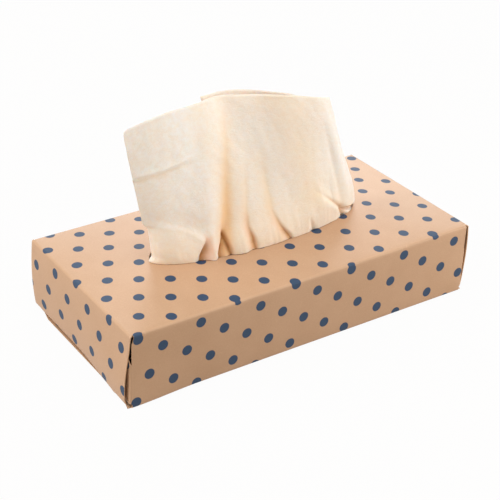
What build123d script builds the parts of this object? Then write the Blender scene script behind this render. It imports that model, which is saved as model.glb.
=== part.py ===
from build123d import *
import math
import os

# A flat tissue carton folded from kraft board, with a pile of interfolded tissues in it
# and one tissue pulled up through the oval opening in its domed top.
# Millimetres, +Z up, +X along the carton. The origin is on the table under its middle.

# Carton
carton_length = 230.0
carton_width = 115.0
carton_height = 44.5
board = 0.5
crease_radius = 1.2  # outside radius where the board is folded
slip = 0.3  # room between two layers of board
crown = 2.9  # rise of the top panel at its middle
glue_strip = 14.0  # width of the seam that closes the tube
glue_end_angle = 60  # slope of the seam's two ends, in degrees

# Oval opening in the top panel
opening_length = 140.0
opening_width = 40.0

# End flaps, hinged on the short edges of the top panel
flap_side_gap = 0.4  # the flap stops this far short of the long sides
flap_bow = 1.2  # how far the closed flap bulges outwards
tuck_depth = 12.0
tuck_corner = 8.0
lock_width = 6.0  # slit at each end of the tuck's crease

# Dust flaps, folded in from the long sides behind the end flaps
dust_depth = 42.0
dust_low = 3.0  # height of the lower edge
dust_root = 17.5  # the upper edge leaves the corner this far below the carton's top
dust_head = 4.0  # and levels out this far below it
dust_slope = 14.0  # run of the sloped shoulder
dust_corner = 6.0

# Pile of tissues
pile_end_room = 1.8  # from the tucks
pile_side_room = 5.0  # from the long walls
pile_head_room = 6.0  # from the top panel's edge
pile_layers = 9  # bulges that the folded edges show along each side
layer_bulge = 0.7

# Pulled tissue: gathered in the opening, swollen over its edge, open at the rim
tissue_thickness = 0.6
tissue_rest = 0.2  # room between the tissue's foot and the pile
fan_half_width = 90.0  # how far the rim goes out to the left
fan_depth = 10.0
fan_height = 95.0  # over the carton's top edge
swell = 3.0
swell_rise = 6.0  # height of the swelling over the collar
swell_fade = 20.0  # height over which the swelling dies out
pleats = 9
columns_per_pleat = 4
pleat_depth = 1.4
pleat_fade = 26.0  # height over which the pleats die out
line_levels = (0.25, 0.6, 1.0)  # where an upright line is set, from the swelling to the rim
left_sweep = 0.8  # below 1 an edge leans out low down, above 1 it leans near the rim
right_sweep = 2.6
# Where the sheet turns sharply, at its left edge and round the fold, its lines stand closer
tight_turns = ((0.0, 0.135), (0.6, 0.64))
# Plan of the gathered tissue at the collar in shares of the opening's half sizes,
# from the left edge along the front, round the fold at the right and back behind it
collar_plan = [
    (-0.94, 0.18), (-0.84, -0.25), (-0.63, -0.55), (-0.34, -0.78), (0.0, -0.86),
    (0.34, -0.79), (0.63, -0.58), (0.83, -0.27), (0.88, 0.03), (0.77, 0.25),
    (0.43, 0.35), (0.06, 0.38), (-0.29, 0.33),
]
# The rim over the same stations, in shares of the fan's half width, depth and height
rim_plan = [
    (-1.01, -0.80, 0.953), (-0.74, -0.70, 0.993), (-0.49, -0.25, 0.997), (-0.28, 0.40, 0.958),
    (-0.09, 0.05, 0.947), (0.09, -0.60, 0.942), (0.27, -0.90, 0.905), (0.42, -0.90, 0.850),
    (0.49, -0.40, 0.822), (0.42, 0.20, 0.826), (0.22, 0.60, 0.868), (-0.04, 0.90, 0.926),
    (-0.37, 1.00, 0.937),
]

half_length = carton_length / 2
half_width = carton_width / 2
hinge_x = half_length - crease_radius
wall_end = half_length - board - slip - crease_radius
bottom_end = half_length - board
panel_half_width = half_width - crease_radius
tuck_level = board + slip
pile_top = carton_height - pile_head_room
pile_height = pile_top - board
pile_width = carton_width - 2 * (board + pile_side_room)
pile_length = 2 * (hinge_x - tuck_depth - pile_end_room)
collar_height = carton_height + crown / 2  # height where the opening grips the tissue


def top_panel():
    # A quadratic patch that is flat along the creases and highest in the middle
    over = 1.1
    rise = (1 - over**2, 1 + over**2, 1 - over**2)
    places = (-over, 0.0, over)
    net = [
        [
            Vector(
                places[i] * hinge_x,
                places[j] * panel_half_width,
                carton_height + crown * rise[i] * rise[j],
            )
            for j in range(3)
        ]
        for i in range(3)
    ]
    skin = Face.make_bezier_surface(net)
    sheet = extrude(skin, amount=board, dir=(0, 0, -1))
    trim = Pos(0, 0, carton_height) * Box(2 * hinge_x, 2 * panel_half_width, carton_height)
    hole = extrude(Ellipse(opening_length / 2, opening_width / 2), amount=2 * carton_height)
    return sheet & trim - hole


def tube_walls():
    # Front, back and bottom with their long creases, open where the top panel lies
    outer = RectangleRounded(carton_width, carton_height, crease_radius)
    inner = RectangleRounded(
        carton_width - 2 * board, carton_height - 2 * board, crease_radius - board
    )
    ring = Plane.YZ * Pos(0, carton_height / 2) * (outer - inner)
    walls = extrude(ring, amount=wall_end, both=True)
    walls -= Pos(0, 0, carton_height) * Box(carton_length, 2 * panel_half_width, carton_height)
    bottom = Pos(0, 0, board / 2) * Box(2 * bottom_end, 2 * panel_half_width, board)
    return walls + bottom


def glue_seam():
    # The strip that closes the tube, inside the back wall above the bottom crease
    strip = Plane.XZ * Trapezoid(2 * wall_end, glue_strip, glue_end_angle)
    inside = half_width - board
    return Pos(0, inside, crease_radius + glue_strip / 2) * extrude(strip, amount=board)


def dust_flap():
    # Folded in from the front wall at the right end
    turn = Pos(wall_end, -panel_half_width) * (
        Circle(crease_radius) - Circle(crease_radius - board)
    )
    turn &= Pos(wall_end + crease_radius, -half_width) * Rectangle(
        2 * crease_radius, 2 * crease_radius
    )
    reach = dust_depth - crease_radius
    leaf = Pos(wall_end + crease_radius - board / 2, -panel_half_width + reach / 2)
    section = turn + leaf * Rectangle(board, reach)
    dust_top = carton_height - dust_head
    shape = Polygon(
        (-half_width, dust_low),
        (-half_width + dust_depth, dust_low),
        (-half_width + dust_depth, dust_top),
        (-half_width + dust_slope, dust_top),
        (-half_width, carton_height - dust_root),
        align=None,
    )
    tips = shape.vertices().group_by(Axis.X)[-1]
    shape = Plane.YZ * fillet(tips, dust_corner)
    return extrude(section, amount=carton_height) & extrude(shape, amount=carton_length)


def end_flap():
    # Section from the hinge over the bowed panel to the tuck, all in tangent arcs.
    # The tuck is an arc about the hinge, so it slides out of the carton as the flap opens.
    tuck_radius = carton_height - tuck_level
    half_rise = tuck_radius / 2 - crease_radius
    bow_radius = (half_rise**2 + flap_bow**2) / (2 * flap_bow)
    lean = math.degrees(math.asin(half_rise / bow_radius))
    tuck_angle = math.degrees(tuck_depth / tuck_radius)

    def face_line(depth):
        bend = JernArc((hinge_x, carton_height - depth), (1, 0), crease_radius - depth, lean - 90)
        panel = JernArc(bend @ 1, bend % 1, bow_radius + crease_radius - depth, -2 * lean)
        fold = JernArc(panel @ 1, panel % 1, crease_radius - depth, lean - 90)
        tuck = JernArc(fold @ 1, fold % 1, tuck_radius - depth, -tuck_angle)
        return [bend, panel, fold, tuck]

    outside = face_line(0)
    inside = face_line(board)
    ends = [Line(outside[0] @ 0, inside[0] @ 0), Line(outside[-1] @ 1, inside[-1] @ 1)]
    section = Plane.XZ * make_face(outside + inside + ends)
    flap_width = carton_width - 2 * flap_side_gap
    sheet = extrude(section, amount=flap_width / 2, both=True)

    # Below the lock slits the flap is its panel at full width and the narrower tuck
    lock_level = tuck_level + 2 * crease_radius
    panel_strip = Pos(half_length - board + carton_length / 2, 0) * Rectangle(
        carton_length, flap_width
    )
    tongue_length = 2 * tuck_depth
    tongue = Pos(hinge_x - tuck_depth + tongue_length / 2, 0) * Rectangle(
        tongue_length, flap_width - 2 * lock_width
    )
    tongue = fillet(tongue.vertices().group_by(Axis.X)[0], tuck_corner)
    lower = extrude(panel_strip + tongue, amount=lock_level)
    upper = Pos(half_length, 0, lock_level + carton_height / 2) * Box(
        carton_length, carton_width, carton_height
    )
    return sheet & (lower + upper)


def tissue_pile():
    # The folded edges bulge along both long sides
    step = pile_height / pile_layers
    side = pile_width / 2 - layer_bulge
    lines = []
    for layer in range(pile_layers):
        low = board + layer * step
        for way in (-1, 1):
            bulge = (way * (side + layer_bulge), low + step / 2)
            lines.append(ThreePointArc((way * side, low), bulge, (way * side, low + step)))
    for level in (board, pile_top):
        lines.append(Line((-side, level), (side, level)))
    section = Plane.YZ * make_face(lines)
    return extrude(section, amount=pile_length / 2, both=True)


def pulled_tissue():
    plan = Spline(*[(x * opening_length / 2, y * opening_width / 2, 0) for x, y in collar_plan])
    edge = Spline(
        *[(x * fan_half_width, y * fan_depth, carton_height + z * fan_height) for x, y, z in rim_plan]
    )
    foot = pile_top + tissue_rest
    gather = collar_height - foot
    crest = gather + swell_rise
    columns = pleats * columns_per_pleat

    def station(share, side):
        # One upright line of the sheet, half the thickness off its middle
        start = plan @ share
        end = edge @ share
        along = plan % share
        outward = Vector(along.Y, -along.X, 0)
        rim_along = edge % share
        rim_outward = Vector(rim_along.Y, -rim_along.X, 0).normalized()
        wave = math.sin(2 * math.pi * pleats * share)
        sweep = left_sweep + (right_sweep - left_sweep) * share
        full = end.Z - foot
        heights = [0, gather, crest]
        heights += [crest + (full - crest) * rise for rise in line_levels]
        spots = []
        for height in heights:
            open_share = max(0.0, (height - gather) / (full - gather)) ** sweep
            reach = swell_rise / 2 if height < crest else swell_fade
            puff = swell * math.exp(-(((height - crest) / reach) ** 2))
            fade = math.exp(-max(0.0, height - gather) / pleat_fade)
            facing = (outward + (rim_outward - outward) * open_share).normalized()
            push = puff + pleat_depth * wave * fade + side * tissue_thickness / 2
            spot = start + (Vector(end.X, end.Y, 0) - start) * open_share + facing * push
            spots.append(Vector(spot.X, spot.Y, foot + height))
        return Spline(*spots)

    shares = [column / columns for column in range(columns + 1)]
    shares += [
        share + 0.5 / columns
        for share in shares
        if any(low <= share < high for low, high in tight_turns)
    ]
    shares.sort()
    outer = [station(share, 1) for share in shares]
    inner = [station(share, -1) for share in shares]
    faces = [
        Face.make_surface_from_curves(outer[0], inner[0]),
        Face.make_surface_from_curves(outer[-1], inner[-1]),
    ]
    for column in range(len(shares) - 1):
        a, b = outer[column], outer[column + 1]
        c, d = inner[column], inner[column + 1]
        faces.append(Face.make_surface_from_curves(a, b))
        faces.append(Face.make_surface_from_curves(c, d))
        for tip in (0, 1):
            near = Edge.make_line(a @ tip, b @ tip)
            far = Edge.make_line(c @ tip, d @ tip)
            faces.append(Face.make_surface_from_curves(near, far))
    return Solid(Shell(faces))


carton = top_panel() + tube_walls() + glue_seam()
for across in (False, True):
    for along in (False, True):
        leaf = dust_flap()
        if across:
            leaf = mirror(leaf, about=Plane.XZ)
        if along:
            leaf = mirror(leaf, about=Plane.YZ)
        carton += leaf

right_flap = end_flap()
pieces = {
    "carton": carton,
    "left_end_flap": mirror(right_flap, about=Plane.YZ),
    "right_end_flap": right_flap,
    "tissue_pile": tissue_pile(),
    "pulled_tissue": pulled_tissue(),
}

os.makedirs("parts", exist_ok=True)
for name, shape in pieces.items():
    export_step(shape, f"parts/{name}.step")
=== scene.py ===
import bpy
import math
import random
from mathutils import Matrix, Vector, noise


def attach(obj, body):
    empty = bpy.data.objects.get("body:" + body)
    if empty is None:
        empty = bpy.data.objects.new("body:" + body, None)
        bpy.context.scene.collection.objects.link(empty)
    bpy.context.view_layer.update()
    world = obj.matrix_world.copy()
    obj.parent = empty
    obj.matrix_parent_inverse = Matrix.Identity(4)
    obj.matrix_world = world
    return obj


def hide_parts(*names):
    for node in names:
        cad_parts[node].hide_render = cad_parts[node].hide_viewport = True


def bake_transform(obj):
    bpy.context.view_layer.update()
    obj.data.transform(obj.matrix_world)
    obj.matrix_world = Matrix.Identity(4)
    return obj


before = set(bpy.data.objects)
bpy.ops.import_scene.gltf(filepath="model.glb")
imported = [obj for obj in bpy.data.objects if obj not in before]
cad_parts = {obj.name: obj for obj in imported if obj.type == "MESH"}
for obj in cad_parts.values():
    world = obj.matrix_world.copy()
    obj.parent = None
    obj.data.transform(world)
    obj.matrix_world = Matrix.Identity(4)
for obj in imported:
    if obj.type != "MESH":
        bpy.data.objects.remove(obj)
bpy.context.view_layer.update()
mm = 0.001
print("frame loaded")


# Small helpers for modelling by hand

def pick(*objs):
    if bpy.context.object and bpy.context.object.mode != "OBJECT":
        bpy.ops.object.mode_set(mode="OBJECT")
    bpy.ops.object.select_all(action="DESELECT")
    for obj in objs:
        obj.select_set(True)
    bpy.context.view_layer.objects.active = objs[0]


def edit(obj, mode="FACE", test=None):
    # into edit mode with everything selected, or only what passes the test
    pick(obj)
    bpy.ops.object.mode_set(mode="EDIT")
    bpy.ops.mesh.select_mode(type=mode)
    bpy.ops.mesh.select_all(action="SELECT" if test is None else "DESELECT")
    if test is None:
        return
    bpy.ops.object.mode_set(mode="OBJECT")
    if mode == "FACE":
        for face in obj.data.polygons:
            face.select = test(face.center)
    elif mode == "VERT":
        for vertex in obj.data.vertices:
            vertex.select = test(vertex.co)
    else:
        points = obj.data.vertices
        for line in obj.data.edges:
            line.select = test(points[line.vertices[0]].co, points[line.vertices[1]].co)
    bpy.ops.object.mode_set(mode="EDIT")


def leave():
    bpy.ops.object.mode_set(mode="OBJECT")


def useModifier(obj, kind, **settings):
    pick(obj)
    modifier = obj.modifiers.new(kind.title(), kind)
    for name, value in settings.items():
        setattr(modifier, name, value)
    bpy.ops.object.modifier_apply(modifier=modifier.name)


def flatSheet(name, low, high):
    # a flat rectangle in millimetres
    bpy.ops.object.select_all(action="DESELECT")
    bpy.ops.mesh.primitive_plane_add(size=1, calc_uvs=False)
    sheet = bpy.context.object
    sheet.name = name
    edit(sheet)
    bpy.ops.transform.resize(value=((high[0] - low[0]) * mm, (high[1] - low[1]) * mm, 1))
    bpy.ops.transform.translate(value=((low[0] + high[0]) / 2 * mm, (low[1] + high[1]) / 2 * mm, 0))
    leave()
    return sheet


def cutLines(obj, axis, places):
    edit(obj)
    for place in places:
        bpy.ops.mesh.select_all(action="SELECT")
        bpy.ops.mesh.bisect(plane_co=[part * place * mm for part in axis], plane_no=axis)
    leave()


def dropFaces(obj, test):
    edit(obj, "FACE", test)
    bpy.ops.mesh.delete(type="FACE")
    leave()


def roundTips(obj, test, radius, steps):
    edit(obj, "VERT", test)
    bpy.ops.mesh.bevel(offset=radius * mm, segments=steps, affect="VERTICES")
    leave()


def flipFaces(obj):
    edit(obj)
    bpy.ops.mesh.flip_normals()
    leave()


def foldSheet(obj, place, blank):
    # each point goes from the flat blank to its place on the box, and the UV map keeps the blank
    flat = [(vertex.co.x / mm, vertex.co.y / mm) for vertex in obj.data.vertices]
    layer = obj.data.uv_layers.new(name="blank")
    for loop in obj.data.loops:
        layer.data[loop.index].uv = [part * mm for part in blank(*flat[loop.vertex_index])]
    for vertex, spot in zip(obj.data.vertices, flat):
        vertex.co = Vector(place(*spot)) * mm


def ease(low, high, value):
    share = min(max((value - low) / (high - low), 0.0), 1.0)
    return share * share * (3 - 2 * share)


def follow(stops, value):
    # straight lines between (place, amount) stops
    if value <= stops[0][0]:
        return stops[0][1]
    for (a, x), (b, y) in zip(stops, stops[1:]):
        if value <= b:
            return x + (y - x) * (value - a) / (b - a)
    return stops[-1][1]


def wavy(x, y, cut):
    # smooth noise from -1 to 1 on one cut through space
    return noise.noise(Vector((x, y, cut)))


# Shader sums

class Wire:
    # one socket of a node tree, to be used in sums
    def __init__(self, tree, socket):
        self.tree = tree
        self.socket = socket

    @classmethod
    def node(cls, tree, kind, settings=None, sockets=None, out=0):
        made = tree.nodes.new(kind)
        for name, value in (settings or {}).items():
            setattr(made, name, value)
        for name, value in (sockets or {}).items():
            if isinstance(value, Wire):
                tree.links.new(value.socket, made.inputs[name])
            else:
                made.inputs[name].default_value = value
        return cls(tree, made.outputs[out])

    def calc(self, operation, *values):
        sockets = dict(enumerate(values))
        return Wire.node(self.tree, "ShaderNodeMath", {"operation": operation}, sockets)

    def __add__(self, other):
        return self.calc("ADD", self, other)

    def __radd__(self, other):
        return self.calc("ADD", other, self)

    def __sub__(self, other):
        return self.calc("SUBTRACT", self, other)

    def __rsub__(self, other):
        return self.calc("SUBTRACT", other, self)

    def __mul__(self, other):
        return self.calc("MULTIPLY", self, other)

    def __rmul__(self, other):
        return self.calc("MULTIPLY", other, self)

    def __truediv__(self, other):
        return self.calc("DIVIDE", self, other)

    def __rtruediv__(self, other):
        return self.calc("DIVIDE", other, self)

    def __pow__(self, other):
        return self.calc("POWER", self, other)

    def __rpow__(self, other):
        return self.calc("POWER", other, self)

    def step(self, low, high):
        # soft step from 0 to 1
        return Wire.node(self.tree, "ShaderNodeMapRange", {"interpolation_type": "SMOOTHSTEP"},
                         {"Value": self, "From Min": low, "From Max": high})

    def tint(self, first, second):
        # colour between two others by this amount
        return Wire.node(self.tree, "ShaderNodeMix", {"data_type": "RGBA"},
                         {0: self, 6: first, 7: second}, 2)


def strongest(wires):
    # the highest of several masks at each place
    most = wires[0]
    for wire in wires[1:]:
        most = most.calc("MAXIMUM", most, wire)
    return most


def startFinish(name):
    material = bpy.data.materials.new(name)
    material.use_nodes = True
    tree = material.node_tree
    return material, tree, tree.nodes["Principled BSDF"]


def feed(tree, shader, **inputs):
    for name, wire in inputs.items():
        tree.links.new(wire.socket, shader.inputs[name.replace("_", " ")])


def grain(tree, place, size, detail=3.0, stretch=None, turn=0.0):
    # noise with features of a size in millimetres, stretched along x and turned if asked
    if stretch:
        place = Wire.node(tree, "ShaderNodeMapping", {"vector_type": "POINT"},
                          {"Vector": place, "Rotation": (0, 0, math.radians(turn))})
        place = Wire.node(tree, "ShaderNodeMapping", {"vector_type": "POINT"},
                          {"Vector": place, "Scale": (1 / stretch, 1, 1)})
    return Wire.node(tree, "ShaderNodeTexNoise", None,
                     {"Vector": place, "Scale": 1 / (size * mm), "Detail": detail, "Roughness": 0.6})


def bumpOf(tree, height, strength, depth):
    return Wire.node(tree, "ShaderNodeBump", None,
                     {"Height": height, "Strength": strength, "Distance": depth * mm})


# Finishes of the board

board = {
    "kraft": (0.568, 0.350, 0.208, 1), "kraftDeep": (0.500, 0.294, 0.164, 1),
    "fibrePale": (0.76, 0.49, 0.30, 1), "fibreDark": (0.40, 0.20, 0.095, 1),
    "ink": (0.002, 0.038, 0.095, 1), "inkWorn": (0.012, 0.062, 0.140, 1),
    "rawEdge": (0.66, 0.41, 0.24, 1),
    "dotPitch": 17.13, "dotTurn": 29.86, "dotStart": (-99.74, -4.82), "dotRadius": 3.08,
    "dotSoft": 0.16, "dotRagged": 0.35, "wearWidth": (0.25, 1.3), "fibreTurns": (14, 71, 128),
    "darkFibreTurn": 31,
}


def kraftColour(tree, place):
    cloud = grain(tree, place, 28, 4)
    fine = grain(tree, place, 0.9, 5)
    tone = ((cloud - 0.5) * 0.9 + (fine - 0.5) * 0.8 + 0.42).step(0.0, 1.0)
    colour = tone.tint(board["kraft"], board["kraftDeep"])
    pale = strongest([grain(tree, place, 0.35, 2, 11, turn).step(0.64, 0.74)
                      for turn in board["fibreTurns"]])
    dark = strongest([grain(tree, place, 0.3, 2, 9, turn + board["darkFibreTurn"]).step(0.67, 0.76)
                      for turn in board["fibreTurns"]])
    colour = (pale * 0.30).tint(colour, board["fibrePale"])
    colour = (dark * 0.34).tint(colour, board["fibreDark"])
    relief = fine * 0.5 + pale * 0.5 + cloud * 0.4
    return colour, relief, fine, cloud


def printedBoard(foldsAlong, foldsAcross):
    material, tree, shader = startFinish("printedKraft")
    place = Wire.node(tree, "ShaderNodeUVMap", {"uv_map": "blank"})
    colour, relief, fine, cloud = kraftColour(tree, place)
    u = Wire.node(tree, "ShaderNodeSeparateXYZ", None, {0: place}, 0) * 1000  # millimetres
    v = Wire.node(tree, "ShaderNodeSeparateXYZ", None, {0: place}, 1) * 1000

    # print of dots on a square lattice that is turned on the blank
    turn = math.radians(board["dotTurn"])
    left = u - board["dotStart"][0]
    up = v - board["dotStart"][1]
    across = (left * math.cos(turn) - up * math.sin(turn)) / board["dotPitch"]
    along = (left * math.sin(turn) + up * math.cos(turn)) / board["dotPitch"]
    across = across - across.calc("ROUND", across)
    along = along - along.calc("ROUND", along)
    reach = (across * across + along * along) ** 0.5 * board["dotPitch"]
    reach = reach + (fine - 0.5) * board["dotRagged"]
    dot = 1 - reach.step(board["dotRadius"] - board["dotSoft"], board["dotRadius"] + board["dotSoft"])

    # the skin pales a little on the folds
    marks = []
    for line, folds in ((v, foldsAlong), (u, foldsAcross)):
        for fold in folds:
            gap = line - fold
            marks.append(1 - gap.calc("ABSOLUTE", gap).step(*board["wearWidth"]))
    wear = strongest(marks)
    rub = wear * (fine * 1.5 - 0.35)
    colour = (rub.step(0.0, 1.0) * 0.2).tint(colour, board["fibrePale"])
    ink = ((fine - 0.42) * 1.6 + (cloud - 0.5) * 0.6).step(0.0, 1.0).tint(board["ink"], board["inkWorn"])
    colour = (dot * 0.97).tint(colour, ink)
    dent = grain(tree, place, 9, 3)
    bump = bumpOf(tree, relief * 0.5 + dent * 0.25 - wear * 0.1 + dot * 0.06, 0.35, 0.10)
    feed(tree, shader, Base_Color=colour, Normal=bump, Roughness=0.40 + fine * 0.12 + dot * 0.12)
    shader.inputs["Specular IOR Level"].default_value = 0.45
    return material


def plainBoard(name, raw):
    material, tree, shader = startFinish(name)
    place = Wire.node(tree, "ShaderNodeTexCoord", None, None, "Object")
    colour, relief, fine = kraftColour(tree, place)[:3]
    if raw:
        # cut edge, with the layers of fibre along it
        layers = grain(tree, place, 0.25, 3, 14)
        colour = (layers * 0.5 + 0.4).step(0.0, 1.0).tint(colour, board["rawEdge"])
        relief = relief + layers
    bump = bumpOf(tree, relief, 0.4, 0.12)
    feed(tree, shader, Base_Color=colour, Normal=bump, Roughness=0.84 + fine * 0.12)
    shader.inputs["Specular IOR Level"].default_value = 0.2
    return material


# Carton: one blank that is cut, creased and folded. Millimetres, as in the solids.

carton = {
    "halfWidth": 57.5, "height": 44.5, "board": 0.5, "crease": 1.2,
    "crown": 3.1, "crownPower": 4, "wallEnd": 113.0, "hingeX": 113.8, "bottomEnd": 115.2,
    "backFoot": 1.3, "strip": 14.0, "stripSlope": 0.577,
    "openingLength": 140.0, "openingWidth": 40.0,
    "punchLevel": 48.0, "punchDepth": 20.0, "weld": 0.03, "smoothAngle": 40,
    "wallLevels": (3, 7, 11, 15, 19, 23, 27, 31, 35, 39),
    "warp": 0.30, "topWarp": 0.22, "slowWave": (47, 39), "quickWave": (19, 17), "quickShare": 0.4,
    "stiffEnds": 6, "printShift": 2.0,
    "dustDepth": 42.0, "dustLow": 3.0, "dustTop": 40.5, "dustRoot": 27.0, "dustSlope": 14.0,
    "dustCorner": 6.0,
    # the lower corner at the left end of the front, and where its change starts and ends
    "cornerReach": 1.3, "cornerStretch": 0.9, "cornerBulge": 1.6,
    "cornerEnd": (-113.0, -92.0), "cornerNear": (-57.5, -22.0), "cornerLow": (0.0, 38.0),
    "cornerTop": (40.0, 43.5), "bulgeEnd": (-113.0, -72.0),
    "bottomCorner": (40.0, 50.0), "bottomHidden": 0.9,
    "sinkStart": 30.0, "sink": 1.0, "twist": 1.57,
}
crease = carton["crease"]
quarter = crease * math.pi / 2
panelHalf = carton["halfWidth"] - crease
wallRise = carton["height"] - 2 * crease
sectionRuns = [
    ("back", carton["height"] - crease - carton["backFoot"]), ("bend", quarter),
    ("top", 2 * panelHalf), ("bend", quarter),
    ("front", wallRise), ("bend", quarter),
    ("bottom", 2 * panelHalf - carton["board"]), ("bend", quarter),
    ("strip", carton["strip"]),
]
runEnds = [0.0]
for kind, length in sectionRuns:
    runEnds.append(runEnds[-1] + length)
topMiddle = runEnds[2] + panelHalf


def onSection(run):
    # the blank's way round the tube, from the back wall's lower edge up and over
    y, z, angle = carton["halfWidth"], carton["backFoot"], math.pi / 2
    for kind, length in sectionRuns:
        step = min(run, length)
        if kind == "bend":
            turn = step / crease
            y += crease * (math.sin(angle + turn) - math.sin(angle))
            z += crease * (math.cos(angle) - math.cos(angle + turn))
            angle += turn
        else:
            y += step * math.cos(angle)
            z += step * math.sin(angle)
        run -= step
        if run < 1e-6:
            break
    return y, z, kind


def topLevel(x, y):
    return (1 - abs(x / carton["hingeX"]) ** carton["crownPower"]) * (1 - (y / panelHalf) ** 2)


def sunk(x, y):
    # the right end of the top has sunk and twisted, most at its far corner
    way = carton["sink"] + carton["twist"] * y / carton["halfWidth"]
    return ease(carton["sinkStart"], carton["hingeX"], x) * way


def settle(x, y, z):
    return x, y, z * (1 - sunk(x, y) / carton["height"])


def nearCorner(x, y, z):
    # the front wall's left end is longer, and its lower corner bulges
    end = 1 - ease(*carton["cornerEnd"], x)
    near = 1 - ease(*carton["cornerNear"], y)
    low = 1 - ease(*carton["cornerLow"], z)
    below = 1 - ease(*carton["cornerTop"], z)
    x -= (carton["cornerReach"] * below + carton["cornerStretch"] * low) * end * near
    y -= carton["cornerBulge"] * low * near * (1 - ease(*carton["bulgeEnd"], x))
    return x, y, z


def tubePlace(x, run):
    y, z, kind = onSection(run)
    slow, quick = carton["slowWave"], carton["quickWave"]
    sway = wavy(x / slow[0], run / slow[1], 3.1)
    sway += carton["quickShare"] * wavy(x / quick[0], run / quick[1], 8.4)
    ends = 1 - min(abs(x) / carton["wallEnd"], 1) ** carton["stiffEnds"]
    if kind == "top":
        lift = max(topLevel(x, y), 0.0)
        z += carton["crown"] * topLevel(x, y) + carton["topWarp"] * sway * lift
    elif kind in ("front", "back"):
        middle = math.sin(math.pi * (z - crease) / wallRise)
        y += math.copysign(carton["warp"] * sway * max(middle, 0.0) * ends, y)
    elif kind == "strip":
        x *= 1 - (z - crease) * carton["stripSlope"] / carton["wallEnd"]
    if kind == "bottom" and abs(x) > carton["wallEnd"]:
        # the bottom panel shows under the end flaps, but not at their corners
        over = abs(x) - carton["wallEnd"]
        hidden = carton["bottomHidden"] * over * ease(*carton["bottomCorner"], abs(y))
        x -= math.copysign(hidden, x)
    if kind in ("front", "bend", "bottom"):
        x, y, z = nearCorner(x, y, z)
    return settle(x, y, z)


def printPlace(run):
    # from the middle of the top, with the print a little off past the front fold
    shift = carton["printShift"] * min(max((run - runEnds[3]) / quarter, 0.0), 1.0)
    return topMiddle - run + shift


def tubeBlank(x, run):
    return tubePlace(x, run)[0], printPlace(run)


def makeTube():
    tube = flatSheet("cartonShell", (-carton["bottomEnd"], 0), (carton["bottomEnd"], runEnds[-1]))
    # lines to cut: folds, steps of the bends, then the walls, top, bottom and glue strip
    levels = list(runEnds[1:-1])
    for bend in (1, 3, 5, 7):
        levels += [runEnds[bend] + quarter * part / 4 for part in (1, 2, 3)]
    for level in carton["wallLevels"]:
        levels += [level - carton["backFoot"], runEnds[5] - (level - crease)]
    levels += [runEnds[2] + 2 * panelHalf * part / 30 for part in range(1, 30)]
    levels += [runEnds[6] + 8 * part for part in range(1, 14)]
    levels += [runEnds[8] + 5, runEnds[8] + 10]
    cutLines(tube, (0, 1, 0), levels)
    columns = [carton["wallEnd"], carton["hingeX"]] + [110 - 5 * part for part in range(22)]
    cutLines(tube, (1, 0, 0), columns + [-column for column in columns] + [0])

    def beyond(middle):
        run = middle.y / mm
        limit = carton["wallEnd"]
        if runEnds[2] < run < runEnds[3]:
            limit = carton["hingeX"]
        elif runEnds[6] < run < runEnds[7]:
            limit = carton["bottomEnd"]
        return abs(middle.x / mm) > limit

    dropFaces(tube, beyond)
    foldSheet(tube, tubePlace, tubeBlank)
    flipFaces(tube)
    return tube


def makeDustFlap(alongWay, acrossWay):
    # folded in from the end of a long wall
    reach = quarter + carton["dustDepth"] - crease
    flap = flatSheet("dustFlap", (0, carton["dustLow"]), (reach, carton["dustTop"]))
    roundTips(flap, lambda co: co.x > reach * 0.9 * mm, carton["dustCorner"], 7)
    root = carton["dustRoot"]
    shoulder = (carton["dustSlope"], carton["dustTop"] - root)
    edit(flap)
    bpy.ops.mesh.bisect(plane_co=(0, root * mm, 0), plane_no=(-shoulder[1], shoulder[0], 0),
                        clear_outer=True)
    leave()
    cutLines(flap, (0, 1, 0), carton["wallLevels"][1:])
    cutLines(flap, (1, 0, 0), [quarter * part / 4 for part in (1, 2, 3, 4)] + [8, 14, 20, 26, 32, 38])

    def place(run, z):
        turn = min(run, quarter) / crease
        x = carton["wallEnd"] + crease * math.sin(turn)
        y = carton["halfWidth"] - crease * (1 - math.cos(turn)) - max(run - quarter, 0.0)
        return settle(*nearCorner(alongWay * x, acrossWay * y, z))

    def blank(run, z):
        wallRun = runEnds[5] - (z - crease) if acrossWay < 0 else z - carton["backFoot"]
        end = nearCorner(alongWay * carton["wallEnd"], acrossWay * carton["halfWidth"], z)[0]
        return end + alongWay * run, printPlace(wallRun)

    foldSheet(flap, place, blank)
    if alongWay * acrossWay > 0:
        flipFaces(flap)
    return flap


def thicken(piece, finishes):
    for finish in finishes:
        piece.data.materials.append(finish)
    useModifier(piece, "SOLIDIFY", thickness=carton["board"] * mm, offset=-1, use_even_offset=True,
                material_offset=1, material_offset_rim=2)


def smooth(piece, angle):
    pick(piece)
    bpy.ops.object.shade_smooth_by_angle(angle=math.radians(angle))


def makeCarton(finishes):
    tube = makeTube()
    flaps = [makeDustFlap(a, b) for a in (-1, 1) for b in (-1, 1)]
    pick(tube, *flaps)
    bpy.ops.object.join()
    edit(tube)
    bpy.ops.mesh.remove_doubles(threshold=carton["weld"] * mm)
    leave()
    thicken(tube, finishes)
    # the oval is punched out of the top panel
    bpy.ops.mesh.primitive_cylinder_add(vertices=180, radius=1, depth=1)
    punch = bpy.context.object
    punch.scale = (carton["openingLength"] / 2 * mm, carton["openingWidth"] / 2 * mm,
                   carton["punchDepth"] * mm)
    punch.location = (0, 0, carton["punchLevel"] * mm)
    pick(punch)
    bpy.ops.object.transform_apply(location=True, rotation=True, scale=True)
    punch.data.materials.append(finishes[2])
    useModifier(tube, "BOOLEAN", operation="DIFFERENCE", object=punch, solver="EXACT",
                material_mode="TRANSFER")
    bpy.data.objects.remove(punch)
    smooth(tube, carton["smoothAngle"])
    return tube


# End flaps: hinged on the top panel's short edges, bowed, with a tuck

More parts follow.
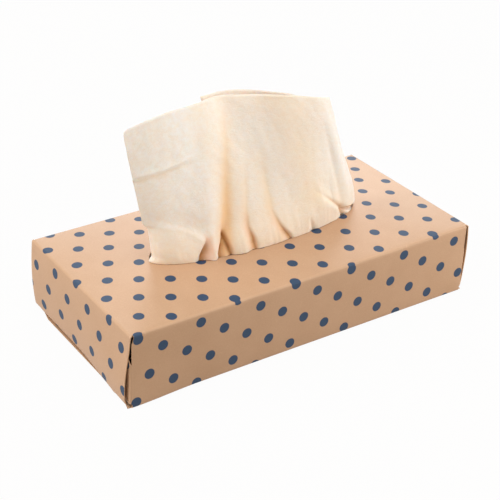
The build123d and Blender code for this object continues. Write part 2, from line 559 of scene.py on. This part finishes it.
endFlap = {
    "halfWidth": 57.1, "bow": 1.2, "tuckLevel": 1.8, "tuckDepth": 12.0, "tuckCorner": 8.0,
    "lockWidth": 6.0, "lockShare": 0.83, "taper": 0.019, "bendStrip": (0.7, 3.0),
    "cornerLift": {-1: 3.0, 1: 0.3}, "liftStart": 6.0, "liftEdge": -8.0,
    "ripple": 0.22, "wave": (22, 31),
}
tuckRadius = carton["height"] - endFlap["tuckLevel"]
halfRise = tuckRadius / 2 - crease
bowRadius = (halfRise ** 2 + endFlap["bow"] ** 2) / (2 * endFlap["bow"])
lean = math.asin(halfRise / bowRadius)
flapTurns = [  # outer radius and angle of each arc from the hinge to the tuck's edge
    (crease, math.pi / 2 - lean), (bowRadius + crease, 2 * lean),
    (crease, math.pi / 2 - lean), (tuckRadius, endFlap["tuckDepth"] / tuckRadius),
]
flapEnds = [0.0]
for radius, angle in flapTurns:
    flapEnds.append(flapEnds[-1] + radius * angle)
lockRun = flapEnds[2] + crease * endFlap["lockShare"]


def makeEndFlap(name, side, finishes):
    wide = endFlap["halfWidth"]
    narrow = wide - endFlap["lockWidth"]
    flap = flatSheet(name, (0, -wide), (flapEnds[4], wide))
    cutLines(flap, (1, 0, 0), [lockRun])
    cutLines(flap, (0, 1, 0), [-narrow, narrow])
    dropFaces(flap, lambda middle: middle.x > lockRun * mm and abs(middle.y) > narrow * mm)
    roundTips(flap, lambda co: co.x > (flapEnds[4] - 0.1) * mm and abs(co.y) > (narrow - 0.1) * mm,
              endFlap["tuckCorner"], 8)
    runs = [flapEnds[1] * part / 5 for part in range(1, 6)]
    runs += [flapEnds[1] + (flapEnds[2] - flapEnds[1]) * part / 14 for part in range(1, 15)]
    runs += [flapEnds[2] + (flapEnds[3] - flapEnds[2]) * part / 5 for part in range(1, 6)]
    runs += [flapEnds[3] + endFlap["tuckDepth"] * part / 4 for part in (1, 2, 3)]
    cutLines(flap, (1, 0, 0), runs)
    cutLines(flap, (0, 1, 0), [5 * part for part in range(-11, 12)])

    def place(run, y):
        x, z, heading = carton["hingeX"], carton["height"], 0.0
        left = run
        for radius, angle in flapTurns:
            turn = min(left, radius * angle) / radius
            x += radius * (math.sin(heading) - math.sin(heading - turn))
            z += radius * (math.cos(heading - turn) - math.cos(heading))
            heading -= turn
            left -= turn * radius
            if left < 1e-6:
                break
        # the near lower corner stands off, and the panel isn't quite true
        low = ease(endFlap["liftStart"], flapEnds[2], run)
        near = ease(endFlap["liftEdge"], wide, -y)
        panel = math.sin(math.pi * min(run / flapEnds[2], 1.0))
        wave = wavy(run / endFlap["wave"][0], y / endFlap["wave"][1], 5.0 + side)
        x += endFlap["cornerLift"][side] * low * near + endFlap["ripple"] * panel * wave
        return settle(side * x, y * (1 - endFlap["taper"] * min(run / flapEnds[2], 1.0)), z)

    def blank(run, y):
        return side * (carton["hingeX"] + run), y

    foldSheet(flap, place, blank)
    if side < 0:
        flipFaces(flap)
    thicken(flap, finishes)
    smooth(flap, carton["smoothAngle"])
    return flap


alongFolds = [topMiddle - runEnds[1] - quarter / 2, -panelHalf]
acrossFolds = [way * (carton["hingeX"] + run) for way in (-1, 1)
               for run in (flapEnds[1] / 2, flapEnds[2] + flapEnds[1] / 2)]
printed = printedBoard(alongFolds, acrossFolds)
plain = plainBoard("plainKraft", False)
rawEdge = plainBoard("cutKraft", True)
finishes = [printed, plain, rawEdge]
print("board finishes ready")

cartonShell = makeCarton(finishes)
leftFlap = makeEndFlap("leftFlapShell", -1, finishes)
rightFlap = makeEndFlap("rightFlapShell", 1, finishes)
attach(cartonShell, "carton")
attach(leftFlap, "left_end_flap")
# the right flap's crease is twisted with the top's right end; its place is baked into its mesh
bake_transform(rightFlap)
for piece, node in ((cartonShell, "carton"), (leftFlap, "left_end_flap"), (rightFlap, "right_end_flap")):
    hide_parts(node)
print("carton folded:", len(cartonShell.data.polygons), "faces")


# Tissue paper

tissue = {
    "cream": (0.980, 0.825, 0.745, 1), "creamPale": (0.995, 0.905, 0.875, 1),
    # the warm colour is painted shade in folds and valleys, the pocket colour painted shadow in the
    # pleats' pockets
    "warm": (0.92, 0.63, 0.35, 1), "pocketShadow": (0.62, 0.355, 0.155, 1), "fleck": (0.86, 0.66, 0.48, 1),
    "hairTurns": (22, 80, 143),
}


def tissuePaper(name, place, crepeSize):
    material, tree, shader = startFinish(name)
    spot = Wire.node(tree, *place)
    cloud = grain(tree, spot, 14, 4)
    fine = grain(tree, spot, 0.7, 4)
    crepe = grain(tree, spot, crepeSize, 3, 6)
    hair = strongest([grain(tree, spot, 0.3, 2, 10, turn).step(0.63, 0.75)
                      for turn in tissue["hairTurns"]])
    mottle = grain(tree, spot, 2.6, 3)
    tone = ((cloud - 0.5) * 0.7 + (mottle - 0.5) * 1.5 + (fine - 0.5) * 1.1 + 0.5).step(0.0, 1.0)
    colour = tone.tint(tissue["cream"], tissue["creamPale"])
    colour = (hair * 0.35).tint(colour, tissue["fleck"])
    if name == "pulledTissue":
        # painted shade: warmer where layers lie together in a fold, in the valleys and low down, and
        # painted brown shadow in the pockets
        fold = Wire.node(tree, "ShaderNodeAttribute", {"attribute_name": "fold"}, None, "Fac")
        pocketShadow = Wire.node(tree, "ShaderNodeAttribute", {"attribute_name": "pocketShadow"}, None, "Fac")
        colour = (fold * (0.9 + (cloud - 0.5) * 0.5)).tint(colour, tissue["warm"])
        colour = pocketShadow.tint(colour, tissue["pocketShadow"])
    height = crepe * 0.6 + fine * 0.35 + mottle * 0.5 + hair * 0.2
    feed(tree, shader, Base_Color=colour, Normal=bumpOf(tree, height, 0.8, 0.32),
         Roughness=0.86 + fine * 0.1)
    shader.inputs["Specular IOR Level"].default_value = 0.12
    shader.inputs["Subsurface Weight"].default_value = 1.0
    shader.inputs["Subsurface Radius"].default_value = (1.0, 0.86, 0.72)
    shader.inputs["Subsurface Scale"].default_value = 0.0003
    shader.inputs["Sheen Weight"].default_value = 0.08
    return material


pile = {
    "halfLength": 100.0, "halfWidth": 51.4, "low": 0.5, "high": 38.5, "layers": 24,
    "slip": 0.55, "tilt": 0.004, "edge": 0.62, "packed": 0.97, "seed": 12,
    "lift": 0.12, "sideWave": 0.35, "endWave": 0.3, "sideZone": (20, 50), "endZone": (60, 100),
}


def makePile(finish):
    # folded sheets on each other, the folds along both long sides
    rng = random.Random(pile["seed"])
    thick = (pile["high"] - pile["low"]) / pile["layers"]
    bpy.ops.object.select_all(action="DESELECT")
    bpy.ops.mesh.primitive_cube_add(size=1, calc_uvs=False)
    layer = bpy.context.object
    layer.name = "tissueStack"
    edit(layer)
    size = (2 * pile["halfLength"] * mm, 2 * pile["halfWidth"] * mm, thick * pile["packed"] * mm)
    bpy.ops.transform.resize(value=size)
    leave()
    edit(layer, "EDGE", lambda a, b: abs(a.x - b.x) > pile["halfLength"] * mm)
    bpy.ops.mesh.bevel(offset=pile["edge"] * mm, segments=3, affect="EDGES")
    leave()
    cutLines(layer, (1, 0, 0), [-96 + 16 * part for part in range(13)])
    cutLines(layer, (0, 1, 0), [-45 + 15 * part for part in range(7)])
    base = [vertex.co.copy() for vertex in layer.data.vertices]
    copies = [layer]
    for _ in range(1, pile["layers"]):
        pick(layer)
        bpy.ops.object.duplicate()
        copies.append(bpy.context.object)
    for number, copy in enumerate(copies):
        middle = pile["low"] + thick * (number + 0.5)
        slip = Vector((rng.uniform(-1, 1), rng.uniform(-1, 1), 0)) * pile["slip"]
        tilt = rng.uniform(-pile["tilt"], pile["tilt"])
        for vertex, co in zip(copy.data.vertices, base):
            x, y, z = co / mm
            wave = wavy(x / 60, y / 24, number * 0.7)
            side = pile["sideWave"] * wavy(x / 25, number * 1.3, 4.0) * ease(*pile["sideZone"], abs(y))
            y += math.copysign(side, y) + slip.y + tilt * x
            end = pile["endWave"] * wavy(y / 12, number * 2.1, 9.0) * ease(*pile["endZone"], abs(x))
            x += end + slip.x
            vertex.co = Vector((x, y, middle + z + pile["lift"] * wave)) * mm
    pick(*copies)
    bpy.ops.object.join()
    layer.data.materials.append(finish)
    smooth(layer, 50)
    return layer


pileFinish = tissuePaper("piledTissue", ("ShaderNodeTexCoord", None, None, "Object"), 0.8)
tissueStack = makePile(pileFinish)
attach(tissueStack, "carton")
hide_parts("tissue_pile")
print("pile laid:", len(tissueStack.data.polygons), "faces")


# Pulled tissue. Shares run along its width, from the left edge over the front,
# round the fold at the right and back behind it. Heights are in millimetres over the table.

pulled = {
    "columns": 360, "rows": 110, "thickness": 0.22, "width": 210,
    "flatSize": (0.21, 0.10),  # metres, the sheet's size in its UV map
    "foot": 38.7, "collar": 45.95, "halfOpening": (70.0, 20.0), "halfFan": 90.0, "fanDepth": 10.0,
    "fanHeight": 95.0, "boxTop": 44.5, "sweep": (0.8, 2.6), "cornerRadius": 3.0,
    "collarPlan": [
        (-0.94, 0.18), (-0.84, -0.25), (-0.63, -0.55), (-0.34, -0.78), (0.0, -0.86),
        (0.34, -0.79), (0.63, -0.58), (0.83, -0.27), (0.88, 0.03), (0.77, 0.25),
        (0.43, 0.35), (0.06, 0.38), (-0.29, 0.33),
    ],
    "rimPlan": [
        (-1.01, -0.80, 0.953), (-0.74, -0.70, 0.993), (-0.49, -0.25, 0.982), (-0.39, 0.06, 0.976),
        (-0.28, 0.40, 0.957),
        (-0.09, 0.05, 0.940), (0.09, -0.60, 0.930), (0.27, -0.86, 0.893), (0.42, -0.80, 0.854),
        (0.495, -0.45, 0.822), (0.42, -0.08, 0.814), (0.22, 0.38, 0.874), (-0.04, 0.90, 0.928),
        (-0.205, 0.95, 0.954), (-0.37, 1.00, 0.947),
    ],
    # the lip lies over the opening's edge, then swells up to a level and fades
    "overlap": [(0.0, 0.8), (0.5, 0.7), (0.56, 0.8), (0.62, 0.8)],
    "lipStart": 46.0, "lipFull": 46.9, "backLip": 1.5, "backFrom": (0.615, 0.68),
    "lumpTaper": [(0.0, 0.84), (0.10, 0.80), (0.14, 0.4), (0.17, 0)], "taperStart": 47.5, "taperPast": 6,
    # the right fold is tucked in over its lip
    "tuck": [(0.556, 0), (0.570, 0.62), (0.595, 0.5), (0.612, 0.2), (0.63, 0)],
    "tuckLevel": [(0.565, 51.5), (0.59, 49.2), (0.61, 47.3)], "tuckHeight": 1.2,
    "swellEnd": [(0.0, 69), (0.05, 70), (0.075, 68), (0.10, 65), (0.12, 62), (0.145, 56), (0.17, 50),
                 (0.36, 50), (0.42, 54), (0.49, 62), (0.53, 55), (0.57, 50), (0.62, 50), (0.70, 50)],
    "swellFade": [(0.0, 2.4), (0.10, 3.0), (0.14, 6), (0.17, 12), (0.36, 13), (0.42, 11), (0.49, 8),
                  (0.53, 8), (0.57, 30), (0.62, 30), (0.70, 20)],
    "slowFade": 22, "slowShare": 0.28, "quickShare": 0.72,
    # valleys that run up from the collar: line, depth and width over the height
    "valleys": [
        {"line": [(46, 0.113), (50, 0.120), (55, 0.133), (60, 0.145)], "left": 0.45, "right": 1.5,
         "depth": [(46, 1.4), (48, 2.2), (51, 3.6), (55, 2.4), (58, 1.0), (61, 0)],
         "width": [(46, 0.010), (60, 0.008)]},
        {"line": [(46, 0.165), (50, 0.168), (54, 0.176), (58, 0.188)], "left": 0.5, "right": 1.2,
         "depth": [(46, 1.8), (48, 2.6), (51, 4.0), (55, 3.2), (58, 2.0), (63, 0)],
         "width": [(46, 0.008), (60, 0.007)]},
        {"line": [(46, 0.201), (52, 0.198), (58, 0.191)], "left": 1.2, "right": 0.5,
         "depth": [(46, 1.8), (48, 2.6), (51, 4.0), (55, 3.2), (58, 2.0), (63, 0)],
         "width": [(46, 0.008), (60, 0.007)]},
        {"line": [(46, 0.182), (58, 0.190), (70, 0.212), (100, 0.252), (120, 0.288), (134, 0.315)],
         "depth": [(46, 0), (50, 1.0), (64, 1.7), (85, 1.7), (110, 1.2), (134, 0.4)],
         "width": [(46, 0.014), (58, 0.014), (68, 0.025), (100, 0.030), (134, 0.035)]},
        {"line": [(46, 0.270), (54, 0.268), (61, 0.262), (70, 0.268)], "left": 2.0, "right": 0.7,
         "depth": [(46, 1.2), (48, 1.8), (51, 2.7), (55, 2.1), (60, 1.0), (68, 0)],
         "width": [(46, 0.008), (58, 0.007), (70, 0.008)]},
        {"line": [(56, 0.264), (70, 0.268), (82, 0.284), (95, 0.300)],
         "depth": [(54, 0), (66, 0.6), (85, 0.5), (100, 0)], "width": [(56, 0.012), (95, 0.016)]},
        {"line": [(46, 0.379), (50, 0.370), (54, 0.359), (58.5, 0.349), (66, 0.339)],
         "left": 2.0, "right": 0.7,
         "depth": [(46, 1.2), (48, 1.6), (50.5, 2.2), (55, 1.6), (60, 0.8), (67, 0)],
         "width": [(46, 0.008), (60, 0.007)]},
        {"line": [(56, 0.349), (66, 0.338), (85, 0.346), (104, 0.356)],
         "depth": [(54, 0), (66, 0.6), (88, 0.5), (110, 0)], "width": [(56, 0.013), (104, 0.018)]},
        {"line": [(46, 0.452), (56, 0.440)],
         "depth": [(46, 1.8), (51, 1.0), (57, 0)], "width": [(46, 0.008), (57, 0.006)]},
        {"line": [(46, 0.567), (54, 0.555), (60, 0.527), (67, 0.493), (74, 0.470)],
         "depth": [(46, 2.6), (52, 2.3), (60, 1.5), (72, 0)],
         "width": [(46, 0.008), (60, 0.008), (72, 0.009)]},
        {"line": [(46, 0.556), (80, 0.557), (110, 0.56)],
         "depth": [(46, 0.5), (60, 1.0), (85, 0.9), (112, 0)], "width": [(46, 0.010), (100, 0.012)]},
        {"line": [(46, 0.70), (100, 0.71)],
         "depth": [(46, 3.0), (60, 2.0), (110, 0)], "width": [(46, 0.012), (100, 0.02)]},
        {"line": [(46, 0.79), (100, 0.80)],
         "depth": [(46, 3.5), (60, 2.2), (120, 0.3)], "width": [(46, 0.014), (100, 0.022)]},
        {"line": [(46, 0.89), (100, 0.88)],
         "depth": [(46, 3.0), (60, 2.0), (110, 0)], "width": [(46, 0.012), (100, 0.02)]},
    ],
    # ridges between them
    "ridges": [
        {"line": [(46, 0.152), (62, 0.160)], "depth": [(46, 1.4), (58, 1.0), (68, 0)],
         "width": [(46, 0.010), (62, 0.008)]},
        {"line": [(56, 0.150), (100, 0.19), (134, 0.25)],
         "depth": [(56, 0.4), (72, 1.3), (110, 1.2), (134, 0.6)], "width": [(56, 0.024), (134, 0.034)]},
        {"line": [(46, 0.232), (80, 0.24)], "depth": [(46, 1.0), (60, 0.8), (80, 0)],
         "width": [(46, 0.016), (80, 0.02)]},
        {"line": [(50, 0.578), (100, 0.585)], "depth": [(50, 0.4), (90, 0.8), (120, 0)],
         "width": [(50, 0.010), (100, 0.014)]},
    ],
    # painted brown shadow in the pockets and painted warm shade along soft folds, tinted along their
    # lines
    "pocketShadows": [
        {"line": [(46, 0.113), (50, 0.120), (55, 0.133), (60, 0.145)], "left": 0.3, "right": 1.8,
         "tint": [(46, 1.0), (54, 0.9), (58, 0.5), (63, 0)], "width": [(46, 0.013), (58, 0.009)]},
        {"line": [(46, 0.183), (58, 0.190), (66, 0.200)],
         "tint": [(46, 0.3), (52, 0.6), (57, 0.95), (60, 0.6), (68, 0)],
         "width": [(46, 0.016), (54, 0.012), (60, 0.009), (68, 0.012)]},
        {"line": [(46, 0.165), (50, 0.168), (54, 0.176), (58, 0.188)], "left": 0.4, "right": 1.2,
         "tint": [(46, 0.9), (57, 0.7), (61, 0)], "width": [(46, 0.008), (58, 0.006)]},
        {"line": [(46, 0.201), (52, 0.198), (58, 0.191)], "left": 1.2, "right": 0.4,
         "tint": [(46, 0.9), (57, 0.7), (61, 0)], "width": [(46, 0.008), (58, 0.006)]},
        {"line": [(46, 0.270), (54, 0.268), (61, 0.262), (70, 0.268)], "left": 1.7, "right": 0.4,
         "tint": [(46, 1.0), (55, 0.85), (61, 0.4), (70, 0)],
         "width": [(46, 0.008), (60, 0.007), (70, 0.009)]},
        {"line": [(46, 0.379), (50, 0.370), (54, 0.359), (58.5, 0.349), (66, 0.339)],
         "left": 1.7, "right": 0.4,
         "tint": [(46, 1.0), (53, 0.8), (59, 0.4), (66, 0)], "width": [(46, 0.008), (60, 0.008)]},
        {"line": [(46, 0.567), (54, 0.555), (60, 0.527), (67, 0.493)],
         "tint": [(46, 0.3), (54, 0.5), (60, 0.25), (66, 0)], "width": [(46, 0.007), (60, 0.007)]},
    ],
    "warmFoldShade": [
        {"line": [(46, 0.183), (60, 0.196), (70, 0.212), (100, 0.252), (120, 0.288)],
         "tint": [(46, 0.45), (58, 0.75), (76, 0.66), (90, 0.45), (110, 0.25), (130, 0)],
         "width": [(46, 0.017), (68, 0.018), (120, 0.017)]},
        {"line": [(60, 0.262), (70, 0.268), (82, 0.284), (95, 0.300)], "left": 1.6, "right": 0.6,
         "tint": [(58, 0.15), (66, 0.3), (85, 0.22), (100, 0)], "width": [(60, 0.009), (95, 0.014)]},
        {"line": [(58, 0.349), (66, 0.338), (85, 0.346), (104, 0.356)], "left": 1.6, "right": 0.6,
         "tint": [(58, 0.15), (66, 0.3), (88, 0.22), (108, 0)], "width": [(58, 0.012), (104, 0.018)]},
        {"line": [(60, 0.47), (100, 0.465)], "tint": [(56, 0), (68, 0.25), (100, 0.25), (130, 0.1)],
         "width": [(60, 0.045), (100, 0.06)]},
    ],
    # the left edge of the lump stands in
    "inset": {"reach": 2.6, "top": (69.5, 72.0), "foot": (47.0, 52.0), "end": 0.06},
    "foldLine": {"height": 103.0, "slope": 30.0, "end": 0.20, "fadeFrom": 0.45, "depth": 0.85,
                 "width": 1.7},
    # small waves: size, how many over the width, length upwards and cut
    "fineWave": (0.28, 95, 26, 1.7), "softWave": (0.9, 9, 34, 6.2), "crinkle": (0.20, 42, 6, 2.9),
    "fineEnd": (50, 70), "loose": (46, 60),
    # outside this share of the opening it rests on the top panel, with this gap
    "restRing": 0.94, "restGap": 0.28,
    # painted warm shade: where another layer lies behind, along the fold line, low down and in the
    # valleys
    "shade": {"lined": 0.175, "linedFrom": (0.16, 0.22), "linedTo": (0.53, 0.57), "linedDrop": 0.4,
              "fold": 0.25, "low": 0.28, "lowSpan": (50, 84), "valley": 0.5, "valleyFull": 4.8},
    # where the grid's rows and columns lie closer
    "rowStops": [(0.0, 0.0), (0.08, 0.068), (0.40, 0.17), (0.60, 0.33), (1.0, 1.0)],
    "columnStops": [(0.0, 0.0), (0.45, 0.30), (0.88, 0.66), (1.0, 1.0)],
}


class PlanCurve:
    # smooth line through points, by its share of the length
    def __init__(self, points):
        self.points = [Vector(point) for point in points]
        gaps = [(b - a).length for a, b in zip(self.points, self.points[1:])]
        self.knots = [sum(gaps[:number]) / sum(gaps) for number in range(len(points))]
        last = len(points) - 1
        self.slopes = []
        for number in range(len(points)):
            low, high = max(number - 1, 0), min(number + 1, last)
            if number in (0, last):
                slope = (self.points[high] - self.points[low]) / (self.knots[high] - self.knots[low])
            else:
                before = self.knots[number] - self.knots[low]
                after = self.knots[high] - self.knots[number]
                first = (self.points[number] - self.points[low]) / before
                second = (self.points[high] - self.points[number]) / after
                slope = (first * after + second * before) / (before + after)
            self.slopes.append(slope)

    def at(self, share):
        number = 0
        while number < len(self.knots) - 2 and share > self.knots[number + 1]:
            number += 1
        span = self.knots[number + 1] - self.knots[number]
        x = (share - self.knots[number]) / span
        a, b = self.points[number], self.points[number + 1]
        p, q = self.slopes[number] * span, self.slopes[number + 1] * span
        point = (a * (2 * x**3 - 3 * x**2 + 1) + p * (x**3 - 2 * x**2 + x)
                 + b * (3 * x**2 - 2 * x**3) + q * (x**3 - x**2))
        way = (a * (6 * x**2 - 6 * x) + p * (3 * x**2 - 4 * x + 1)
               + b * (6 * x - 6 * x**2) + q * (3 * x**2 - 2 * x))
        return point, way


collarCurve = PlanCurve([(x * pulled["halfOpening"][0], y * pulled["halfOpening"][1], 0)
                         for x, y in pulled["collarPlan"]])
rimCurve = PlanCurve([(x * pulled["halfFan"], y * pulled["fanDepth"],
                       pulled["boxTop"] + z * pulled["fanHeight"]) for x, y, z in pulled["rimPlan"]])


def across(way):
    # outwards, at right angles to the way along the sheet
    return Vector((way.y, -way.x, 0)).normalized()


def pleatSum(pleats, share, level, sharp, what="depth"):
    total = 0.0
    for pleat in pleats:
        gap = (share - follow(pleat["line"], level)) / follow(pleat["width"], level)
        gap = gap / pleat.get("right", 1) if gap > 0 else -gap / pleat.get("left", 1)
        if gap < 4:
            total += follow(pleat[what], level) * math.exp(-gap ** sharp)
    return total


def paperWave(name, share, level):
    size, count, length, cut = pulled[name]
    return size * wavy(share * count, level / length, cut)


def lipReach(share, start, side):
    # way from the gathered sheet out to the opening's edge, with the overlap
    wide, deep = pulled["halfOpening"]
    a = (side.x / wide) ** 2 + (side.y / deep) ** 2
    b = start.x * side.x / wide ** 2 + start.y * side.y / deep ** 2
    c = (start.x / wide) ** 2 + (start.y / deep) ** 2 - 1
    edge = (math.sqrt(max(b * b - a * c, 0.0)) - b) / a + follow(pulled["overlap"], share)
    return edge + (pulled["backLip"] - edge) * ease(*pulled["backFrom"], share)


def tissuePoint(share, rise):
    start, way = collarCurve.at(share)
    end, rimWay = rimCurve.at(share)
    full = end.z - pulled["foot"]
    # the rim's left corner is round
    side = share * pulled["width"]
    if side < pulled["cornerRadius"]:
        gap = pulled["cornerRadius"] - side
        full -= pulled["cornerRadius"] - math.sqrt(max(pulled["cornerRadius"] ** 2 - gap ** 2, 0.0))
    height = rise * full
    level = pulled["foot"] + height
    gather = pulled["collar"] - pulled["foot"]
    low, high = pulled["sweep"]
    opened = max(0.0, (height - gather) / (end.z - pulled["collar"])) ** (low + (high - low) * share)
    facing = (across(way) + (across(rimWay) - across(way)) * opened).normalized()

    puff = lipReach(share, start, across(way))
    puff *= ease(pulled["lipStart"], pulled["lipFull"], level)
    offTuck = (level - follow(pulled["tuckLevel"], share)) / pulled["tuckHeight"]
    tuck = follow(pulled["tuck"], share) * math.exp(-offTuck ** 2)
    puff *= 1 - tuck
    swellEnd = follow(pulled["swellEnd"], share)
    taper = ease(pulled["taperStart"], swellEnd + pulled["taperPast"], level)
    puff *= 1 - follow(pulled["lumpTaper"], share) * taper
    over = level - swellEnd
    if over > 0:
        slow = pulled["slowShare"] * math.exp(-over / pulled["slowFade"])
        puff *= slow + pulled["quickShare"] * math.exp(-(over / follow(pulled["swellFade"], share)) ** 2)
    valley = pleatSum(pulled["valleys"], share, level, 1.5)
    ridge = pleatSum(pulled["ridges"], share, level, 2)
    loose = ease(*pulled["loose"], level)
    fine = paperWave("fineWave", share, level) * (1 - ease(*pulled["fineEnd"], level))
    soft = paperWave("softWave", share, level) * loose
    crinkle = paperWave("crinkle", share, level) * loose
    line = pulled["foldLine"]
    offLine = (level - line["height"] - share * line["slope"]) / line["width"]
    fold = line["depth"] * 2.33 * offLine * math.exp(-offLine ** 2)  # 2.33 brings the peak to the depth
    fold *= 1 - ease(line["end"] * line["fadeFrom"], line["end"], share)

    push = puff - valley + ridge + fine + soft + crinkle + fold
    spot = start + (Vector((end.x, end.y, 0)) - start) * opened + facing * push
    spot.z = level
    inset = pulled["inset"]
    inward = inset["reach"] * (1 - ease(*inset["top"], level)) * ease(*inset["foot"], level)
    spot.x += inward * (1 - ease(0, inset["end"], share))
    # outside the opening it lies on the top panel, not in it
    ring = (spot.x / pulled["halfOpening"][0]) ** 2 + (spot.y / pulled["halfOpening"][1]) ** 2
    if ring > pulled["restRing"] and level > pulled["collar"]:
        panel = carton["height"] + carton["crown"] * topLevel(spot.x, spot.y) - sunk(spot.x, spot.y)
        spot.z = max(spot.z, panel + pulled["restGap"])
    # painted warm shade from the layer behind, the fold line, low down and the valleys
    warm = pulled["shade"]
    lined = ease(*warm["linedFrom"], share) * (1 - warm["linedDrop"] * ease(*warm["linedTo"], share))
    shade = warm["lined"] * lined + warm["fold"] * max(-fold, 0.0)
    shade += warm["low"] * (1 - ease(*warm["lowSpan"], level))
    deep = min(valley / warm["valleyFull"], 1.0)
    shade += deep * warm["valley"] + pleatSum(pulled["warmFoldShade"], share, level, 2, "tint")
    # painted brown shadow in the pleats' pockets and under the tuck
    pocketShadow = pleatSum(pulled["pocketShadows"], share, level, 2, "tint") + tuck
    return spot, min(shade, 1.0), min(pocketShadow, 1.0)


def makePulledTissue(finish):
    bpy.ops.object.select_all(action="DESELECT")
    columns, rows = pulled["columns"], pulled["rows"]
    bpy.ops.mesh.primitive_grid_add(x_subdivisions=columns, y_subdivisions=rows, size=1, calc_uvs=False)
    sheet = bpy.context.object
    sheet.name = "pulledSheet"
    flat = [(follow(pulled["columnStops"], vertex.co.x + 0.5),
             follow(pulled["rowStops"], vertex.co.y + 0.5)) for vertex in sheet.data.vertices]
    layer = sheet.data.uv_layers.new(name="sheet")
    for loop in sheet.data.loops:
        share, rise = flat[loop.vertex_index]
        layer.data[loop.index].uv = (share * pulled["flatSize"][0], rise * pulled["flatSize"][1])
    # painted shade for each point: warm in folds and valleys, brown shadow in the pockets
    folds = sheet.data.attributes.new("fold", "FLOAT", "POINT")
    pocketShadows = sheet.data.attributes.new("pocketShadow", "FLOAT", "POINT")
    for number, (share, rise) in enumerate(flat):
        spot, folds.data[number].value, pocketShadows.data[number].value = tissuePoint(share, rise)
        sheet.data.vertices[number].co = spot * mm
    sheet.data.materials.append(finish)
    useModifier(sheet, "SOLIDIFY", thickness=pulled["thickness"] * mm, offset=0, use_even_offset=False)
    pick(sheet)
    bpy.ops.object.shade_smooth()
    return sheet


pulledFinish = tissuePaper("pulledTissue", ("ShaderNodeUVMap", {"uv_map": "sheet"}), 0.55)
pulledSheet = makePulledTissue(pulledFinish)
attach(pulledSheet, "carton")
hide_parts("pulled_tissue")
print("tissue gathered:", len(pulledSheet.data.polygons), "faces")


# Floor, light and camera

studio = {
    "floorSize": 6, "floorColour": (0.54, 0.47, 0.40, 1), "floorGlow": 0.965, "fill": 0.395,
    "aim": (0, 0, 0.05),
    "lamps": [
        {"name": "keyLamp", "place": (-1.15, 0.45, 0.70), "size": 0.9, "power": 11.6},
        {"name": "backLamp", "place": (0.80, 1.18, 0.66), "size": 0.9, "power": 9.2},
        {"name": "topLamp", "place": (-0.20, -0.30, 1.50), "size": 0.9, "power": 9.4},
        {"name": "rightLamp", "place": (0.34, -0.26, 0.13), "size": 0.3, "power": 0.76},
        {"name": "frontLamp", "place": (0.12, -0.38, 0.50), "size": 0.35, "power": 0.4},
    ],
    "eye": (-399.87, -571.13, 445.89), "right": (0.83242, -0.55299, 0.03573),
    "up": (0.25671, 0.44195, 0.85952), "back": (-0.4911, -0.70631, 0.50985),
    "lens": 99.43, "sensor": 36,
}


def seenRays(tree):
    # rays that show the background: from the camera, a mirror or a glass
    rays = [Wire.node(tree, "ShaderNodeLightPath", None, None, name)
            for name in ("Is Camera Ray", "Is Glossy Ray", "Is Transmission Ray")]
    return strongest(rays)


def makeStage():
    bpy.ops.object.select_all(action="DESELECT")
    bpy.ops.mesh.primitive_plane_add(size=studio["floorSize"], location=(0, 0, 0))
    floor = bpy.context.object
    floor.name = "floor"
    material, tree, shader = startFinish("paleFloor")
    shader.inputs["Base Color"].default_value = studio["floorColour"]
    shader.inputs["Roughness"].default_value = 0.95
    glow = Wire.node(tree, "ShaderNodeEmission", None, {"Color": (1, 1, 1, 1), "Strength": 1.0})
    own = Wire(tree, shader.outputs[0])
    seen = seenRays(tree) * studio["floorGlow"]
    mixed = Wire.node(tree, "ShaderNodeMixShader", None, {0: seen, 1: own, 2: glow})
    tree.links.new(mixed.socket, tree.nodes["Material Output"].inputs["Surface"])
    floor.data.materials.append(material)

    world = bpy.data.worlds.new("studioWorld")
    bpy.context.scene.world = world
    world.use_nodes = True
    tree = world.node_tree
    strength = studio["fill"] + seenRays(tree) * (1.0 - studio["fill"])
    background = tree.nodes["Background"]
    background.inputs["Color"].default_value = (1, 1, 1, 1)
    tree.links.new(strength.socket, background.inputs["Strength"])

    for lamp in studio["lamps"]:
        bpy.ops.object.light_add(type="AREA", location=lamp["place"])
        light = bpy.context.object
        light.name = lamp["name"]
        light.data.energy = lamp["power"]
        light.data.size = lamp["size"]
        aim = Vector(studio["aim"]) - Vector(lamp["place"])
        light.rotation_euler = aim.to_track_quat("-Z", "Y").to_euler()

    bpy.ops.object.camera_add()
    camera = bpy.context.object
    camera.name = "photoCamera"
    columns = [Vector(studio[name]) for name in ("right", "up", "back")]
    turn = Matrix(columns).transposed().to_4x4()
    camera.matrix_world = Matrix.Translation(Vector(studio["eye"]) * mm) @ turn
    camera.data.sensor_width = studio["sensor"]
    camera.data.lens = studio["lens"]
    camera.data.clip_start = 0.01
    bpy.context.scene.camera = camera
    bpy.context.scene.view_settings.view_transform = "Standard"


makeStage()
print("stage set")
